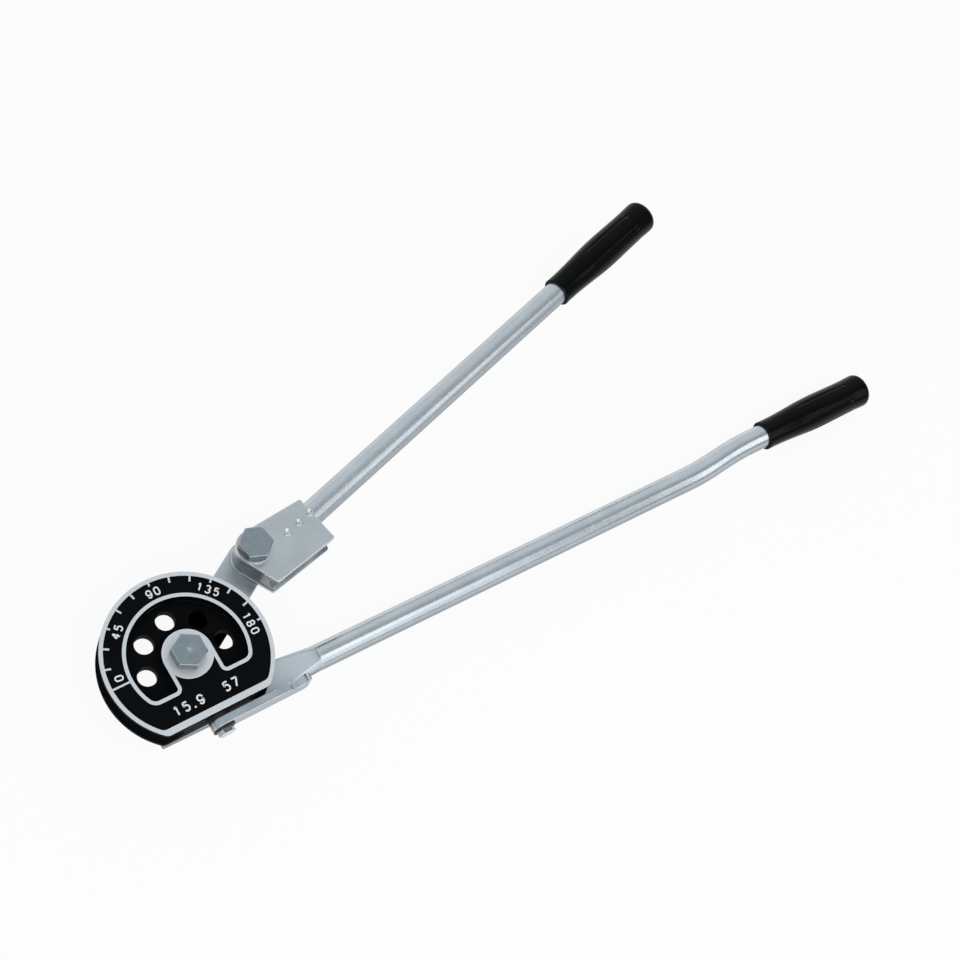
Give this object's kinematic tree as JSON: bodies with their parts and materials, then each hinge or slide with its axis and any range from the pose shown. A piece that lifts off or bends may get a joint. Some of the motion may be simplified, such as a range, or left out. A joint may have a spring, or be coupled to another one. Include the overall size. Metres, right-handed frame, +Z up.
{
  "type": "tube bender",
  "caption": "Lever tube bender with a grooved forming wheel, a swinging link, a hinged forming shoe on a long handle, a tube latch and a fixed main handle.",
  "frame": {"origin": "forming wheel axis where it meets the table, at the end of the hub bolt", "axes": "+X along the main handle and the wheel's flat, +Z up along the wheel's axis away from the table"},
  "size_m": [0.6466, 0.2249, 0.0569],
  "materials": {
    "black_paint": "satin black paint with bare raised rims",
    "zinc_plate": "satin zinc plating",
    "zinc_tube": "satin zinc plating, faintly speckled",
    "bolt_steel": "bright zinc plated hexagon",
    "grip_black": "semi-gloss black moulded sleeve",
    "washer_black": "matt black"
  },
  "bodies": {
    "frame": {"forming_wheel": "black_paint", "hub_bolt": "bolt_steel", "hub_washer": "zinc_plate", "hub_nut": "bolt_steel", "main_handle": "zinc_tube", "main_grip": "grip_black", "tongue_screws": "bolt_steel", "tongue_washers": "zinc_plate", "latch_spacer": "washer_black", "latch_washer": "washer_black", "latch_screw": "bolt_steel"},
    "latch": {"latch_hook": "zinc_plate"},
    "link": {"link_plate": "zinc_plate", "shoe_bolt": "bolt_steel", "shoe_head_washer": "zinc_plate", "shoe_spacer": "zinc_plate", "shoe_back_washer": "zinc_plate", "shoe_nut": "bolt_steel"},
    "shoe": {"shoe_block": "zinc_plate", "shoe_top_plate": "zinc_plate", "shoe_bottom_plate": "zinc_plate", "shoe_handle": "zinc_tube", "shoe_grip": "grip_black"}
  },
  "joints": [
    {"name": "link_swing", "type": "hinge", "parent": "frame", "child": "link", "pos_m": [0, 0, 0.0192], "axis": [0, 0, 1], "range_deg": [-28.5, 152]},
    {"name": "shoe_swing", "type": "hinge", "parent": "link", "child": "shoe", "pos_m": [0.07562, 0.04598, 0.03415], "axis": [0, 0, 1], "range_deg": [-71, 60]},
    {"name": "latch_swing", "type": "hinge", "parent": "frame", "child": "latch", "pos_m": [0, -0.0498, 0.03415], "axis": [0, -1, 0], "range_deg": [0, 166]}
  ]
}
